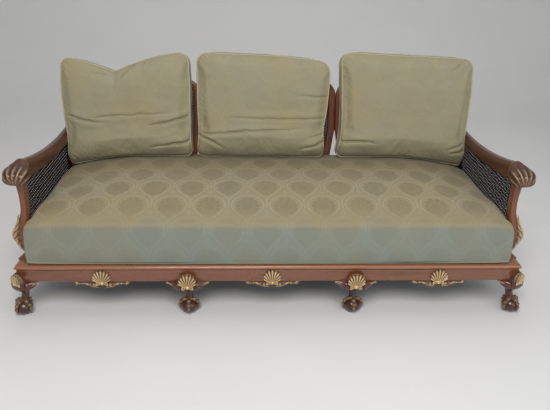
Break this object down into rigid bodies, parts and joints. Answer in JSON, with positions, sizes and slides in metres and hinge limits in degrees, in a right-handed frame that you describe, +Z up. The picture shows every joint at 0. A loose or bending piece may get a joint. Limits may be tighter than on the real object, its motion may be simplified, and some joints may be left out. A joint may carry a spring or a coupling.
{
  "type": "sofa",
  "caption": "Show-wood sofa with claw and ball feet, hooped cane back, cane sides under scrolled arms, a fixed damask seat and loose back cushions.",
  "frame": {"origin": "on the floor under the middle of the sofa's outline", "axes": "+X along the sofa, to the right as seen from the front; +Y to the back; +Z up"},
  "size_m": [1.9586, 0.8232, 0.8617],
  "materials": {
    "walnut": "polished red-brown",
    "frame_wood": "plain sawn",
    "gilt_carving": "worn dull gilding",
    "carved_apron": "polished, gilt edge",
    "cane": "dark stained cane",
    "damask": "sage green damask",
    "seat_damask": "sage green damask",
    "webbing": "jute webbing",
    "bottoming": "black bottoming cloth"
  },
  "bodies": {
    "frame": {"front_rail": "walnut", "side_rail_left": "walnut", "side_rail_right": "walnut", "front_leg_left": "walnut", "front_leg_mid_left": "walnut", "front_leg_mid_right": "walnut", "front_leg_right": "walnut", "knee_brackets_left": "walnut", "knee_brackets_mid_left": "walnut", "knee_brackets_mid_right": "walnut", "knee_brackets_right": "walnut", "back_post_left": "walnut", "back_post_right": "walnut", "back_bottom_rail": "walnut", "back_stile_left_outer": "walnut", "back_stile_left_inner": "walnut", "back_stile_right_outer": "walnut", "back_stile_right_inner": "walnut", "crest_rail_left": "walnut", "crest_rail_centre": "walnut", "crest_rail_right": "walnut", "arm_rail_left": "walnut", "arm_rail_right": "walnut", "arm_post_left": "walnut", "arm_post_right": "walnut", "side_bar_left": "walnut", "side_bar_right": "walnut", "back_rail": "frame_wood", "cross_rail_left": "frame_wood", "cross_rail_right": "frame_wood", "corner_blocks": "frame_wood", "back_leg_mid_left": "frame_wood", "back_leg_mid_right": "frame_wood", "knee_shell_left": "gilt_carving", "knee_shell_mid_left": "gilt_carving", "knee_shell_mid_right": "gilt_carving", "knee_shell_right": "gilt_carving", "apron_shell_left": "gilt_carving", "apron_shell_centre": "gilt_carving", "apron_shell_right": "gilt_carving", "arm_leaf_left": "gilt_carving", "arm_leaf_right": "gilt_carving", "apron_left": "carved_apron", "apron_centre": "carved_apron", "apron_right": "carved_apron", "back_cane_left": "cane", "back_cane_centre": "cane", "back_cane_right": "cane", "side_cane_left": "cane", "side_cane_right": "cane", "seat_webbing": "webbing", "bottoming_cloth": "bottoming", "seat_cushion": "seat_damask"},
    "cushion_left": {"back_cushion_left": "damask"},
    "cushion_middle": {"back_cushion_middle": "damask"},
    "cushion_right": {"back_cushion_right": "damask"}
  },
  "joints": [
    {"name": "lift_left_cushion", "type": "slide", "parent": "frame", "child": "cushion_left", "axis": [0, 0, 1], "range_m": [0, 0.35]},
    {"name": "lift_middle_cushion", "type": "slide", "parent": "frame", "child": "cushion_middle", "axis": [0, 0, 1], "range_m": [0, 0.35]},
    {"name": "lift_right_cushion", "type": "slide", "parent": "frame", "child": "cushion_right", "axis": [0, 0, 1], "range_m": [0, 0.35]}
  ]
}
